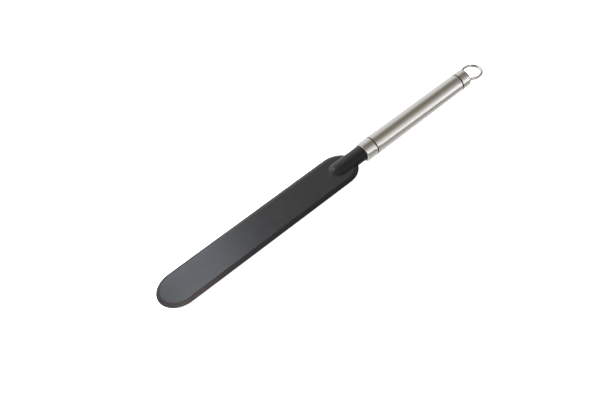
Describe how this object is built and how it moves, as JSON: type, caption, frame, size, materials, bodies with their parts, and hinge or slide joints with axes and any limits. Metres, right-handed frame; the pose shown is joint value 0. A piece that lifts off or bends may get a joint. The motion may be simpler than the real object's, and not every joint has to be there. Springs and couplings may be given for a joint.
{
  "type": "straight cake spatula",
  "caption": "Long black moulded spatula blade with rounded ends and a round neck, in line with a brushed steel tube handle that has a pivoting wire hanging loop.",
  "frame": {"origin": "under the middle of the whole spatula, on the plane that the handle's lowest line touches", "axes": "+X from the blade's tip to the hanging loop, +Z square to the blade's faces, +Y across the blade"},
  "size_m": [0.3858, 0.0378, 0.019],
  "materials": {
    "blade_nylon": "black moulded nylon with a fine even texture",
    "ring_black": "smooth black plastic",
    "bush_nylon": "natural moulded nylon, inside the handle",
    "plug_nylon": "smooth black nylon",
    "tube_steel": "satin stainless steel, fine rings round the tube",
    "ferrule_steel": "bright stainless steel",
    "cap_steel": "satin stainless steel",
    "wire_steel": "bright drawn steel wire",
    "plain_steel": "plain zinc-plated steel, inside the handle",
    "brass": "turned brass, inside the neck"
  },
  "bodies": {
    "spatula": {"blade": "blade_nylon", "neck_insert": "brass", "tie_rod": "plain_steel", "tie_washer": "plain_steel", "tie_nut": "plain_steel", "front_ferrule": "ferrule_steel", "front_bush": "bush_nylon", "front_ring": "ring_black", "handle_tube": "tube_steel", "rear_ring": "ring_black", "rear_bush": "bush_nylon", "end_cap": "cap_steel", "end_plug": "plug_nylon"},
    "loop": {"hanging_loop": "wire_steel"}
  },
  "joints": [
    {"name": "loop_swing", "type": "hinge", "parent": "spatula", "child": "loop", "pos_m": [0.16942, 0, 0.0095], "axis": [0, 1, 0], "range_deg": [-30, 30]}
  ]
}
